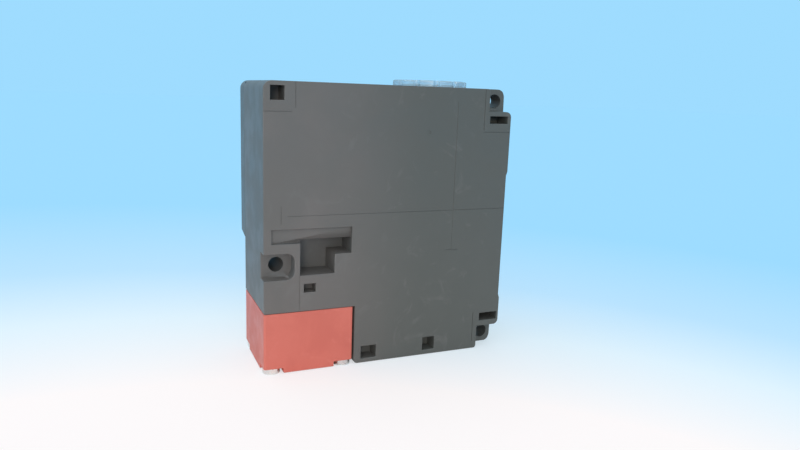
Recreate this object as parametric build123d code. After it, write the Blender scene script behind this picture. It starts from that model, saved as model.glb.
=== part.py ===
from build123d import *
import math
import os

# Tongue interlock switch with a solenoid lock, in millimetres.
# Everything is drawn from the housing's back left bottom corner: X to the right as seen from the
# mounting side, Y from the mounting face to the front covers, Z from the head up to the conduit.
# The finished pieces are moved so that the origin is at the middle of the base.

# Housing
HOUSING_W = 94.5
HOUSING_H = 101.5
HOUSING_D = 33.0
WALL = 2.5
BACK_WALL = 3.0
CORNER_R = 3.0
EAR_R = 2.0
FOOT_R = 1.5
WAIST = 0.5
WAIST_LOW = 20.0
WAIST_HIGH = 70.5

# Running and seating clearances
RUN = 0.05
FIT = 0.1
LOOSE = 0.3

# Mounting lugs on the right and mounting hole on the left
LUG_W = 9.6
LUG_TOP_H = 8.3
LUG_FOOT_H = 9.0
LUG_BACK = 6.0
LUG_T = 7.0
MOUNT_R = 2.65
LUG_HOLE_EDGE = 4.3
LUG_HOLE_INSET = 4.5
SIDE_HOLE_X = 5.3
SIDE_HOLE_Z = 38.7
SIDE_RECESS_DEPTH = 5.0
SIDE_RECESS_W = 10.8
SIDE_RECESS_HALF = 4.6
SIDE_RECESS_R = 2.8
SIDE_BOSS_W = 9.6
SIDE_BOSS_LOW = 32.6

# Head
HEAD_W = 32.6
HEAD_H = 22.1
HEAD_GAP = 0.6
HEAD_EDGE_R = 0.8
NOTCH = 7.0
NOTCH_DEPTH = 1.8
HEAD_SCREW_INSET = 3.2
HEAD_SCREW_HEAD_R = 3.1
HEAD_SCREW_R = 1.5
HEAD_SCREW_PROUD = 0.2
HEAD_SCREW_END = 27.5
SLOT_W = 13.6
SLOT_T = 5.4
SLOT_LEAD = 0.6
KEY_OFFSET = 3.6
SEAL_R = 12.3
SEAL_T = 1.6
SEAL_H = 1.1

# Cam and plunger
PLUNGER_Y = 18.5
CAM_Z = 12.6
CAM_R = 7.4
CAM_T = 14.0
CAM_HIGH = 7.2
STROKE = 4.0
CAM_ANGLE = 60.0
CAM_OVERRUN = 6.0
CAM_DWELL = 45.0
CAM_NOTCH_T = 4.4
CAM_HUB_R = 2.6
SHAFT_R = 1.5
SHAFT_END = 5.5
NOSE_R = 1.0
NOSE_L = 3.0
ROD_R = 3.0
COLLAR_R = 5.0
COLLAR_T = 1.7
BUSH_R = 4.2
BUSH_FLANGE_R = 5.2
BUSH_FLANGE_T = 2.6
PLUNGER_SPRING_R = 3.95
SPRING_WIRE = 0.7
SPRING_STEPS = 12

# Mechanism compartment and its cover
SPLIT_Z = 42.8
SHELF_LOW = 41.2
SHELF_HIGH = 45.3
POST_W = 6.8
POST_H = 7.3
FLOOR_T = 2.5
COVER_T = 2.2
RIM = 1.2
BOSS_R = 2.4
COVER_SCREW_R = 1.2
COVER_SCREW_HEAD_R = 2.3
COVER_SCREW_HEAD_T = 1.2
COVER_SCREW_L = 9.0

# Lock fork
FORK_Z = 31.0
FORK_T = 1.9
FORK_W = 14.0
FORK_MOUTH_W = 6.6
LOCK_TRAVEL = 5.0
FORK_END = 45.0
HUB_T = 4.0
HUB_W = 8.0
HUB_LOW = 29.0
HUB_HIGH = 35.0
FLANGE_T = 1.5

# Solenoid
FRAME_X = 46.0
FRAME_L = 34.0
FRAME_T = 2.0
FRAME_W = 19.6
FRAME_BACK = 6.0
FRAME_DEPTH = 23.0
FRAME_EAR = 5.0
FRAME_EAR_W = 7.0
FRAME_EAR_INSET = 7.5
SLUG_R = 4.0
PIN_R = 1.1
CORE_L = 11.0
BOBBIN_WALL = 0.9
BOBBIN_FLANGE_R = 9.6
BOBBIN_FLANGE_T = 1.0
WINDING_R = 9.2
LOCK_SPRING_L = 7.4
LOCK_SPRING_R = 4.65
LOCK_SPRING_WIRE = 0.6
CLIP_T = 0.6
CLIP_R = 5.2
SLUG_TAIL = 0.8
M3_R = 1.5
M3_HEAD_R = 2.75
M3_HEAD_T = 1.8

# Release knob on the mechanism cover
KNOB_X = 30.0
KNOB_Z = 36.2
KNOB_R = 5.0
KNOB_PROUD = 1.6
KNOB_SHAFT_R = 2.5
CRANK = 2.5
CRANK_DISC_R = 3.8
CRANK_DISC_T = 1.2
CRANK_PIN_R = 1.0

# Door switch block
SWITCH_X = 3.6
SWITCH_W = 28.4
SWITCH_Z = 55.0
SWITCH_H = 29.0
SWITCH_D = 25.0
CASE_WALL = 2.0
CARRIER_W = 9.0
CARRIER_H = 19.0
CARRIER_LIFT = 0.5
WINDOW_H = 6.0
WINDOW_W = 5.2
WINDOW_LOW = 3.2
WINDOW_PITCH = 8.6
BRIDGE_L = 20.0
BRIDGE_W = 4.0
BRIDGE_T = 0.8
RIVET_R = 1.2
RIVET_T = 0.4
BLADE_W = 2.6
BLADE_T = 0.8
BLADE_REACH = 7.2
TAG_L = 3.0

# Lock monitor switch
MONITOR_X = 45.6
MONITOR_W = 14.4
MONITOR_Z = 4.4
MONITOR_H = 11.0
MONITOR_D = 24.0
MONITOR_ROD_R = 1.2
MONITOR_CONTACT_Z = 2.9
MONITOR_BRIDGE_HALF = 3.8
ARM_T = 3.0
ARM_W = 4.0

# Terminal block
TERMINAL_X = 38.4
TERMINAL_Z = 55.0
TERMINAL_H = 16.0
TERMINAL_D = 12.0
TERMINAL_FLOOR = 7.0
POLES = 8
POLE_PITCH = 6.0
POLE_WALL = 1.2
CLAMP_T = 1.0
TERMINAL_SCREW_R = 1.2
TERMINAL_SCREW_HEAD_R = 1.9

# Indicator board
BOARD_X = 40.0
BOARD_Z = 75.0
BOARD_W = 16.0
BOARD_H = 11.0
BOARD_Y = 22.0
BOARD_T = 1.6
LED_R = 1.5
LED_L = 6.0
LED_PITCH = 9.0
LENS_R = 2.4
LENS_FLANGE = 0.8

# Wiring cover
COVER_RISE = 7.3
COVER_SKIN = 2.2
COVER_WALL = 2.5
COVER_BEVEL = 1.55
GASKET_W = 1.1
GASKET_H = 0.9
WIRING_BOSS_R = 3.2
WIRING_SCREW_R = 1.5
WIRING_SCREW_HEAD_R = 2.9
WIRING_SCREW_HEAD_T = 2.4
WIRING_SCREW_END = 24.0

# Conduit entry and its plug
CONDUIT_X = 69.0
CONDUIT_Y = 19.8
CONDUIT_R = 10.1
CONDUIT_BOSS_R = 12.6
CONDUIT_BOSS_L = 9.0
PLUG_R = 14.2
PLUG_CAP_T = 2.3
PLUG_STEM_L = 8.0
PLUG_WALL = 1.6
PLUG_NOTCHES = 12
CONDUIT_SEAL_T = 1.6
CONDUIT_SEAL_H = 0.8

# Pockets seen on the mounting face: left, right, bottom, top, depth
CAN_WALL = 1.2
POCKETS = {
    "latch_window": (2.4, 7.1, 95.3, 100.0, 9.0),
    "gauge_slot": (14.2, 18.45, 29.0, 32.1, 5.0),
    "foot_pocket_left": (36.0, 42.0, 1.6, 6.4, 6.0),
    "foot_pocket_right": (61.2, 66.2, 1.8, 6.9, 6.0),
    "ear_slot_top": (85.4, 93.1, 88.8, 91.5, 8.0),
    "ear_slot_foot": (85.8, 93.6, 11.2, 14.3, 8.0),
}
DEEP_POCKET_DEPTH = 11.0
SHALLOW_POCKET_DEPTH = 1.2
DEEP_WALL = 1.7
POCKET_LEFT = 12.8
POCKET_STEP_X = 25.3
POCKET_RIGHT = 31.5
POCKET_LOW = 35.3
POCKET_STEP_Z = 42.3
POCKET_BAND = 48.0
POCKET_TOP = 51.8
BAND_LEFT = 2.8
BAND_LOW = 46.9

# Places that follow from the sizes above
OVERALL_D = HOUSING_D + COVER_RISE
HEAD_TOP = HEAD_H + FIT
STEP_X = HEAD_W + HEAD_GAP
PLUNGER_X = HEAD_W / 2
LUG_X = HOUSING_W - LUG_W
LUG_TOP_Z = HOUSING_H - LUG_TOP_H
LUG_HOLE_X = HOUSING_W - LUG_HOLE_EDGE
FLOOR_Z = HEAD_TOP + FLOOR_T
POST_Z = HEAD_TOP + POST_H
NOSE_Z = CAM_Z + CAM_HIGH
COLLAR_Z = FORK_Z + FORK_T / 2 + (STROKE - COLLAR_T - FORK_T) / 2
COVER_BACK = HOUSING_D - COVER_T
FORK_TIP = PLUNGER_X + COLLAR_R + LOOSE
FRAME_END = FRAME_X + FRAME_L
CORE_END = FRAME_X + FRAME_T + CORE_L
SLUG_START = CORE_END + LOCK_TRAVEL + LOOSE
CLIP_X = FRAME_END + LOCK_SPRING_L
CARRIER_Z = SWITCH_Z + CASE_WALL + STROKE + CARRIER_LIFT
LID_BACK = BACK_WALL + SWITCH_D - CASE_WALL
TERMINAL_W = POLES * POLE_PITCH + POLE_WALL
ORIGIN = (-HOUSING_W / 2, -OVERALL_D / 2, HEAD_SCREW_PROUD)


def box(x0, x1, y0, y1, z0, z1):
    """A box between two values on each axis."""
    return Pos((x0 + x1) / 2, (y0 + y1) / 2, (z0 + z1) / 2) * Box(x1 - x0, y1 - y0, z1 - z0)


def rod_x(y, z, x0, x1, radius):
    """A cylinder along X."""
    return Pos((x0 + x1) / 2, y, z) * Rot(0, 90, 0) * Cylinder(radius, x1 - x0)


def rod_y(x, z, y0, y1, radius):
    """A cylinder along Y."""
    return Pos(x, (y0 + y1) / 2, z) * Rot(90, 0, 0) * Cylinder(radius, y1 - y0)


def rod_z(x, y, z0, z1, radius):
    """A cylinder along Z."""
    return Pos(x, y, (z0 + z1) / 2) * Cylinder(radius, z1 - z0)


def outline(points):
    """A face from corners (a, b) or (a, b, radius)."""
    corners = [(point[0], point[1]) for point in points]
    radii = [point[2] if len(point) > 2 else 0 for point in points]
    return make_face(FilletPolyline(*corners, radius=radii, close=True))


def plate_y(face, y0, y1):
    """A face drawn in X and Z, as thick as y0 to y1."""
    return extrude(Plane((0, y1, 0), x_dir=(1, 0, 0), z_dir=(0, -1, 0)) * face, y1 - y0)


def plate_x(face, x0, x1):
    """A face drawn in Y and Z, as thick as x0 to x1."""
    return extrude(Plane((x0, 0, 0), x_dir=(0, 1, 0), z_dir=(1, 0, 0)) * face, x1 - x0)


def grown(face, by):
    """The same outline moved outwards, or inwards if by is negative, with sharp corners kept."""
    return offset(face, amount=by, kind=Kind.INTERSECTION)


def spring(radius, wire, length, turns):
    """A coil spring along Z from 0, its wire drawn as short straight steps of a six-sided bar."""
    steps = round(turns * SPRING_STEPS)
    rise = (length - wire) / steps
    places = [(radius * math.cos(math.tau * i / SPRING_STEPS), radius * math.sin(math.tau * i / SPRING_STEPS),
               wire / 2 + rise * i) for i in range(steps + 1)]
    along = Vector(*places[1]) - Vector(*places[0])
    section = Plane(places[0], z_dir=along) * RegularPolygon(wire / 2, 6)
    return sweep(section, path=Polyline(*places), transition=Transition.RIGHT)


def pan_screw_y(x, z, seat, end, shank, head_r, head_t):
    """A screw driven towards the mounting face, its head above the seat, with a cross recess."""
    screw = rod_y(x, z, end, seat, shank) + rod_y(x, z, seat, seat + head_t, head_r)
    slot = head_r * 0.3
    recess_back = seat + head_t * 0.4
    recess = box(x - head_r * 0.6, x + head_r * 0.6, recess_back, seat + head_t, z - slot / 2, z + slot / 2)
    recess += box(x - slot / 2, x + slot / 2, recess_back, seat + head_t, z - head_r * 0.6, z + head_r * 0.6)
    return screw - recess


# Where screws go: the mechanism cover, the wiring cover, the solenoid and the head
MECHANISM_SCREWS = [
    (38.8, 5.1),
    (24.4, 27.0),
    (HOUSING_W - WALL - BOSS_R - LOOSE, 14.5),
    (HOUSING_W - WALL - BOSS_R - LOOSE, SHELF_LOW - BOSS_R - FIT),
]
WIRING_SCREWS = [
    (7.2, HOUSING_H - 6.6),
    (HOUSING_W - 7.2, 84.5),
    (7.2, SHELF_HIGH + 4.2),
    (HOUSING_W - 7.2, SHELF_HIGH + 4.2),
]
SOLENOID_SCREWS = [
    (FRAME_X + FRAME_EAR_INSET, FORK_Z - FRAME_W / 2 - FRAME_EAR / 2),
    (FRAME_END - FRAME_EAR_INSET, FORK_Z - FRAME_W / 2 - FRAME_EAR / 2),
]
HEAD_SCREWS = [
    (HEAD_SCREW_INSET, HEAD_SCREW_INSET),
    (HEAD_W - HEAD_SCREW_INSET, HEAD_SCREW_INSET),
    (HEAD_SCREW_INSET, HOUSING_D - HEAD_SCREW_INSET),
    (HEAD_W - HEAD_SCREW_INSET, HOUSING_D - HEAD_SCREW_INSET),
]
LUG_HOLES = [
    (LUG_HOLE_X, LUG_HOLE_INSET),
    (LUG_HOLE_X, HOUSING_H - LUG_HOLE_INSET),
]


def casing_outline(inner_r):
    """The housing's outline with both lug corners cut away."""
    return outline([
        (STEP_X, 0, FOOT_R),
        (LUG_X, 0, 1.0),
        (LUG_X, LUG_FOOT_H, inner_r),
        (HOUSING_W, LUG_FOOT_H, EAR_R),
        (HOUSING_W, WAIST_LOW),
        (HOUSING_W - WAIST, WAIST_LOW + WAIST * 3),
        (HOUSING_W - WAIST, WAIST_HIGH - WAIST * 3),
        (HOUSING_W, WAIST_HIGH),
        (HOUSING_W, LUG_TOP_Z, EAR_R),
        (LUG_X, LUG_TOP_Z, inner_r),
        (LUG_X, HOUSING_H, 1.0),
        (0, HOUSING_H, CORNER_R),
        (0, HEAD_TOP, 0.5),
        (STEP_X, HEAD_TOP),
    ])


def full_outline():
    """The housing's outline with its lugs."""
    return outline([
        (STEP_X, 0, FOOT_R),
        (HOUSING_W, 0, CORNER_R),
        (HOUSING_W, HOUSING_H, CORNER_R),
        (0, HOUSING_H, CORNER_R),
        (0, HEAD_TOP, 0.5),
        (STEP_X, HEAD_TOP),
    ])


def mechanism_room():
    """The compartment of the plunger, the fork and the solenoid."""
    return outline([
        (POST_W, FLOOR_Z),
        (STEP_X - POST_W, FLOOR_Z),
        (STEP_X - POST_W, POST_Z),
        (STEP_X + WALL, POST_Z),
        (STEP_X + WALL, WALL),
        (LUG_X - WALL, WALL),
        (LUG_X - WALL, LUG_FOOT_H + WALL),
        (HOUSING_W - WALL, LUG_FOOT_H + WALL),
        (HOUSING_W - WALL, SHELF_LOW),
        (SIDE_BOSS_W, SHELF_LOW),
        (SIDE_BOSS_W, SIDE_BOSS_LOW),
        (POST_W, SIDE_BOSS_LOW),
    ])


def wiring_room(inset):
    """The compartment of the switch block and the terminals."""
    return outline([
        (inset, SHELF_HIGH - WALL + inset),
        (HOUSING_W - inset, SHELF_HIGH - WALL + inset),
        (HOUSING_W - inset, LUG_TOP_Z - inset),
        (LUG_X - inset, LUG_TOP_Z - inset),
        (LUG_X - inset, HOUSING_H - inset),
        (inset, HOUSING_H - inset),
    ])


def deep_pocket(by):
    """The deep pocket on the mounting face, or the wall round it."""
    return outline([
        (POCKET_LEFT - by, POCKET_LOW - by),
        (POCKET_STEP_X + by, POCKET_LOW - by),
        (POCKET_STEP_X + by, POCKET_STEP_Z - by),
        (POCKET_RIGHT + by, POCKET_STEP_Z - by),
        (POCKET_RIGHT + by, POCKET_BAND + by),
        (POCKET_LEFT - by, POCKET_BAND + by),
    ])


def make_housing():
    """The moulded body: back wall, side walls, shelf, lugs, pockets and screw bosses."""
    back = plate_y(casing_outline(0), 0, LUG_BACK)
    middle = plate_y(full_outline(), LUG_BACK, LUG_BACK + LUG_T)
    front = plate_y(casing_outline(CORNER_R), LUG_BACK + LUG_T, HOUSING_D)
    body = back + middle + front
    body -= plate_y(mechanism_room(), BACK_WALL, HOUSING_D)
    body -= plate_y(wiring_room(WALL), BACK_WALL, HOUSING_D)
    body -= plate_y(grown(mechanism_room(), RIM + FIT), COVER_BACK, HOUSING_D)

    recess_low = SIDE_HOLE_Z - SIDE_RECESS_HALF
    recess_high = SIDE_HOLE_Z + SIDE_RECESS_HALF
    added = box(0, SIDE_RECESS_W + CAN_WALL, 0, SIDE_RECESS_DEPTH + DEEP_WALL,
                recess_low - CAN_WALL, recess_high + CAN_WALL)
    added += plate_y(deep_pocket(DEEP_WALL), 0, DEEP_POCKET_DEPTH + DEEP_WALL)
    for left, right, low, high, depth in POCKETS.values():
        added += box(left - CAN_WALL, right + CAN_WALL, 0, depth + CAN_WALL, low - CAN_WALL, high + CAN_WALL)
    for x, z in MECHANISM_SCREWS:
        added += rod_y(x, z, BACK_WALL, COVER_BACK, BOSS_R)
    for x, z in WIRING_SCREWS:
        added += rod_y(x, z, BACK_WALL, HOUSING_D, WIRING_BOSS_R)
    for x, z in SOLENOID_SCREWS:
        added += rod_y(x, z, BACK_WALL, FRAME_BACK, M3_HEAD_R)
    added += rod_z(CONDUIT_X, CONDUIT_Y, HOUSING_H - CONDUIT_BOSS_L, HOUSING_H - WALL, CONDUIT_BOSS_R)
    for x in (BOARD_X + 3.0, BOARD_X + BOARD_W - 3.0):
        added += rod_y(x, BOARD_Z + 3.0, BACK_WALL, BOARD_Y, 2.0)
    shell = plate_y(casing_outline(0), 0, HOUSING_D)
    body += added & shell

    body -= plate_y(deep_pocket(0), 0, DEEP_POCKET_DEPTH)
    body -= plate_y(outline([
        (BAND_LEFT, BAND_LOW),
        (POCKET_LEFT, BAND_LOW),
        (POCKET_LEFT, POCKET_BAND - 0.2),
        (POCKET_RIGHT, POCKET_BAND - 0.2),
        (POCKET_RIGHT, POCKET_TOP),
        (BAND_LEFT, POCKET_TOP),
    ]), 0, SHALLOW_POCKET_DEPTH)
    for left, right, low, high, depth in POCKETS.values():
        body -= box(left, right, 0, depth, low, high)
    body -= plate_y(outline([
        (-1, recess_low),
        (SIDE_RECESS_W, recess_low, SIDE_RECESS_R),
        (SIDE_RECESS_W, recess_high, SIDE_RECESS_R),
        (-1, recess_high),
    ]), 0, SIDE_RECESS_DEPTH)
    body -= rod_y(SIDE_HOLE_X, SIDE_HOLE_Z, 0, HOUSING_D, MOUNT_R)
    for x, z in LUG_HOLES:
        body -= rod_y(x, z, 0, HOUSING_D, MOUNT_R)
    for x, z in MECHANISM_SCREWS:
        body -= rod_y(x, z, COVER_BACK - COVER_SCREW_L, COVER_BACK, COVER_SCREW_R + RUN)
    for x, z in WIRING_SCREWS:
        body -= rod_y(x, z, WIRING_SCREW_END - LOOSE, HOUSING_D, WIRING_SCREW_R + RUN)
    for x, z in SOLENOID_SCREWS:
        body -= rod_y(x, z, FRAME_BACK - 4.0, FRAME_BACK, M3_R + RUN)
    for x, y in HEAD_SCREWS:
        body -= rod_z(x, y, HEAD_TOP, HEAD_SCREW_END + LOOSE, HEAD_SCREW_R + RUN)
    body -= rod_z(CONDUIT_X, CONDUIT_Y, HOUSING_H - CONDUIT_BOSS_L, HOUSING_H, CONDUIT_R)
    body -= rod_z(PLUNGER_X, PLUNGER_Y, HEAD_TOP, FLOOR_Z, BUSH_R + RUN)
    body -= rod_z(PLUNGER_X, PLUNGER_Y, SHELF_LOW, SHELF_HIGH, ROD_R + RUN)
    return body


def make_mechanism_cover():
    """The flat lid over the mechanism, set into the housing's rim."""
    cover = plate_y(grown(mechanism_room(), RIM), COVER_BACK, HOUSING_D)
    for x, z in MECHANISM_SCREWS:
        cover -= rod_y(x, z, COVER_BACK, HOUSING_D, COVER_SCREW_R + FIT)
        cover -= rod_y(x, z, HOUSING_D - COVER_SCREW_HEAD_T, HOUSING_D, COVER_SCREW_HEAD_R + FIT)
    cover -= rod_y(KNOB_X, KNOB_Z, COVER_BACK, HOUSING_D, KNOB_SHAFT_R + RUN)
    cover -= rod_y(KNOB_X, KNOB_Z, HOUSING_D - 1.0, HOUSING_D, KNOB_SHAFT_R + 1.0)
    return cover


def make_mechanism_cover_screws():
    """The lid's countersunk screws, heads level with the lid."""
    seat = HOUSING_D - COVER_SCREW_HEAD_T
    end = COVER_BACK - COVER_SCREW_L + LOOSE
    return Compound([pan_screw_y(x, z, seat, end, COVER_SCREW_R, COVER_SCREW_HEAD_R, COVER_SCREW_HEAD_T)
                     for x, z in MECHANISM_SCREWS])


def make_wiring_cover():
    """The proud cover over the wiring, bevelled along its lower edge."""
    shape = outline([
        (0, SPLIT_Z),
        (HOUSING_W, SPLIT_Z),
        (HOUSING_W, LUG_TOP_Z, EAR_R),
        (LUG_X, LUG_TOP_Z, CORNER_R),
        (LUG_X, HOUSING_H, 1.0),
        (0, HOUSING_H, CORNER_R),
    ])
    cover = plate_y(shape, HOUSING_D, OVERALL_D)
    cover -= plate_y(grown(wiring_room(COVER_WALL), -FIT), HOUSING_D, OVERALL_D - COVER_SKIN)
    bevel = plate_x(outline([
        (OVERALL_D, SPLIT_Z),
        (OVERALL_D, SPLIT_Z + COVER_BEVEL),
        (HOUSING_D + 0.5, SPLIT_Z),
    ]), 0, HOUSING_W)
    cover -= bevel
    for x, z in WIRING_SCREWS:
        cover += rod_y(x, z, HOUSING_D, OVERALL_D - COVER_SKIN, WIRING_BOSS_R + 1.2)
    cover -= plate_y(gasket_outline(), HOUSING_D, HOUSING_D + GASKET_H)
    for x, z in WIRING_SCREWS:
        cover -= rod_y(x, z, HOUSING_D, OVERALL_D, WIRING_SCREW_R + FIT)
        cover -= rod_y(x, z, OVERALL_D - WIRING_SCREW_HEAD_T - 0.4, OVERALL_D, WIRING_SCREW_HEAD_R + FIT)
    for x, z in lens_places():
        cover -= rod_y(x, z, OVERALL_D - COVER_SKIN, OVERALL_D, LENS_R + RUN)
    return cover


def gasket_outline():
    """The ring between the wiring cover's wall and the housing's wall."""
    margin = (WALL - GASKET_W) / 2
    return wiring_room(margin) - wiring_room(margin + GASKET_W)


def make_wiring_cover_gasket():
    return plate_y(gasket_outline(), HOUSING_D, HOUSING_D + GASKET_H)


def make_wiring_cover_screws():
    seat = OVERALL_D - WIRING_SCREW_HEAD_T - 0.4
    return Compound([pan_screw_y(x, z, seat, WIRING_SCREW_END, WIRING_SCREW_R, WIRING_SCREW_HEAD_R,
                                 WIRING_SCREW_HEAD_T) for x, z in WIRING_SCREWS])


def make_head_block():
    """The red head: cam chamber, two key slots, notched corners for its screws."""
    head = box(0, HEAD_W, 0, HOUSING_D, 0, HEAD_H)
    head = fillet(head.edges().filter_by(Axis.Z), HEAD_EDGE_R)
    half = CAM_T / 2 + 0.2
    chamber_r = CAM_R + LOOSE
    head -= rod_x(PLUNGER_Y, CAM_Z, PLUNGER_X - half, PLUNGER_X + half, chamber_r)
    head -= box(PLUNGER_X - half, PLUNGER_X + half, PLUNGER_Y - chamber_r, PLUNGER_Y + chamber_r, CAM_Z, HEAD_H)
    head -= front_slot(PLUNGER_Y, HOUSING_D, 0)
    head -= front_slot(HOUSING_D - SLOT_LEAD, HOUSING_D, SLOT_LEAD)
    head -= end_slot(0, CAM_Z, 0)
    head -= end_slot(0, SLOT_LEAD, SLOT_LEAD)
    head -= rod_x(PLUNGER_Y, CAM_Z, SHAFT_END, HEAD_W, SHAFT_R + RUN)
    head -= rod_z(PLUNGER_X, PLUNGER_Y, HEAD_H - SEAL_H + FIT, HEAD_H, SEAL_R + SEAL_T / 2 + RUN) \
        - rod_z(PLUNGER_X, PLUNGER_Y, HEAD_H - SEAL_H + FIT, HEAD_H, SEAL_R - SEAL_T / 2 - RUN)
    for x, y in HEAD_SCREWS:
        head -= rod_z(x, y, 0, HEAD_H, HEAD_SCREW_R + FIT)
        x0 = 0 if x < HEAD_W / 2 else HEAD_W - NOTCH
        y0 = 0 if y < HOUSING_D / 2 else HOUSING_D - NOTCH
        head -= box(x0, x0 + NOTCH, y0, y0 + NOTCH, 0, NOTCH_DEPTH)
    return head


def front_slot(y0, y1, more):
    """The key slot in the head's front face."""
    half = SLOT_W / 2 + more
    z = CAM_Z - KEY_OFFSET
    return box(PLUNGER_X - half, PLUNGER_X + half, y0, y1, z - SLOT_T / 2 - more, z + SLOT_T / 2 + more)


def end_slot(z0, z1, more):
    """The key slot in the head's end face."""
    half = SLOT_W / 2 + more
    y = PLUNGER_Y - KEY_OFFSET
    return box(PLUNGER_X - half, PLUNGER_X + half, y - SLOT_T / 2 - more, y + SLOT_T / 2 + more, z0, z1)


def make_head_screws():
    """Four bright pan-head screws up through the head into the housing."""
    screws = []
    for x, y in HEAD_SCREWS:
        screw = rod_z(x, y, NOTCH_DEPTH, HEAD_SCREW_END, HEAD_SCREW_R)
        screw += rod_z(x, y, -HEAD_SCREW_PROUD, NOTCH_DEPTH, HEAD_SCREW_HEAD_R)
        reach = HEAD_SCREW_HEAD_R * 0.6
        half = HEAD_SCREW_HEAD_R * 0.15
        top = NOTCH_DEPTH * 0.5
        screw -= box(x - reach, x + reach, y - half, y + half, -HEAD_SCREW_PROUD, top)
        screw -= box(x - half, x + half, y - reach, y + reach, -HEAD_SCREW_PROUD, top)
        screws.append(screw)
    return Compound(screws)


def make_head_seal():
    """The flat ring squeezed between the head and the housing."""
    low = HEAD_TOP - SEAL_H
    ring = rod_z(PLUNGER_X, PLUNGER_Y, low, HEAD_TOP, SEAL_R + SEAL_T / 2)
    return ring - rod_z(PLUNGER_X, PLUNGER_Y, low, HEAD_TOP, SEAL_R - SEAL_T / 2)


def make_cam_shaft():
    return rod_x(PLUNGER_Y, CAM_Z, SHAFT_END + LOOSE, HEAD_W, SHAFT_R)


def cam_face():
    """The cam's working profile in Y and Z about its own axis.

    The nose's centre comes down by STROKE in proportion as the cam turns by CAM_ANGLE,
    so the face is that path set in by the nose's radius and a running gap.
    """
    drop = STROKE / math.radians(CAM_ANGLE)
    steps = 13
    face = []
    for i in range(steps + 1):
        turn = math.radians(CAM_ANGLE + CAM_OVERRUN) * i / steps
        reach = CAM_HIGH + NOSE_R - drop * turn
        centre = (-reach * math.sin(turn), reach * math.cos(turn))
        along = (drop * math.sin(turn) - reach * math.cos(turn), -drop * math.cos(turn) - reach * math.sin(turn))
        length = math.hypot(*along)
        inward = (-along[1] / length, along[0] / length)
        sink = NOSE_R + RUN
        face.append((centre[0] + inward[0] * sink, centre[1] + inward[1] * sink))
    return face


def make_rotary_cam():
    """The drum that the key turns: two key notches, and a channel with the plunger's face."""
    x0 = PLUNGER_X - CAM_T / 2
    x1 = PLUNGER_X + CAM_T / 2
    drum = rod_x(0, 0, x0, x1, CAM_R)
    face = cam_face()
    low = math.hypot(*face[-1])
    rest_angle = math.radians(CAM_ANGLE + CAM_DWELL)
    rim = CAM_R + 1
    channel = make_face(Spline(*face) + Polyline(
        face[-1],
        (-low * math.sin(rest_angle), low * math.cos(rest_angle)),
        (-rim * math.sin(rest_angle), rim * math.cos(rest_angle)),
        (-rim * 1.6, rim),
        (0, rim * 1.6),
        (CAM_R, rim),
        (CAM_R, face[0][1]),
        face[0],
    ))
    reach = ROD_R + LOOSE
    drum -= plate_x(channel, PLUNGER_X - reach, PLUNGER_X + reach)
    half = CAM_NOTCH_T / 2
    drum -= box(x0, x1, CAM_HUB_R, CAM_R + 1, -KEY_OFFSET - half, -KEY_OFFSET + half)
    drum -= box(x0, x1, -KEY_OFFSET - half, -KEY_OFFSET + half, -CAM_R - 1, -CAM_HUB_R)
    drum -= rod_x(0, 0, x0, x1, SHAFT_R + RUN)
    return Pos(0, PLUNGER_Y, CAM_Z) * drum


def make_plunger_bush():
    """The flanged bush that guides the plunger through the housing's floor."""
    bush = rod_z(PLUNGER_X, PLUNGER_Y, HEAD_TOP, FLOOR_Z, BUSH_R)
    bush += rod_z(PLUNGER_X, PLUNGER_Y, FLOOR_Z, FLOOR_Z + BUSH_FLANGE_T, BUSH_FLANGE_R)
    bush -= rod_z(PLUNGER_X, PLUNGER_Y, HEAD_TOP, FLOOR_Z + BUSH_FLANGE_T, ROD_R + RUN)
    bush -= rod_z(PLUNGER_X, PLUNGER_Y, FLOOR_Z + BUSH_FLANGE_T / 3, FLOOR_Z + BUSH_FLANGE_T, ROD_R + 1.3)
    return bush


def make_plunger_seal():
    """The ring seal in the bush, round the plunger."""
    low = FLOOR_Z + BUSH_FLANGE_T / 3
    high = FLOOR_Z + BUSH_FLANGE_T
    seal = rod_z(PLUNGER_X, PLUNGER_Y, low, high, ROD_R + 1.3 - RUN)
    return seal - rod_z(PLUNGER_X, PLUNGER_Y, low, high, ROD_R + RUN)


def make_plunger_rod():
    """The plunger: rounded nose, rod, lock collar and the spigot that carries the contacts."""
    rod = Pos(PLUNGER_X, PLUNGER_Y, NOSE_Z + NOSE_R) * Sphere(NOSE_R)
    rod += rod_z(PLUNGER_X, PLUNGER_Y, NOSE_Z + NOSE_R, NOSE_Z + NOSE_L, NOSE_R)
    rod += rod_z(PLUNGER_X, PLUNGER_Y, NOSE_Z + NOSE_L, CARRIER_Z, ROD_R)
    rod += rod_z(PLUNGER_X, PLUNGER_Y, COLLAR_Z, COLLAR_Z + COLLAR_T, COLLAR_R)
    rod += rod_z(PLUNGER_X, PLUNGER_Y, CARRIER_Z, CARRIER_Z + WINDOW_LOW - 0.8, ROD_R / 2)
    return rod


def make_plunger_spring():
    low = COLLAR_Z + COLLAR_T
    return Pos(PLUNGER_X, PLUNGER_Y, low) * spring(PLUNGER_SPRING_R, SPRING_WIRE, SHELF_LOW - low, 3.5)


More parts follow.
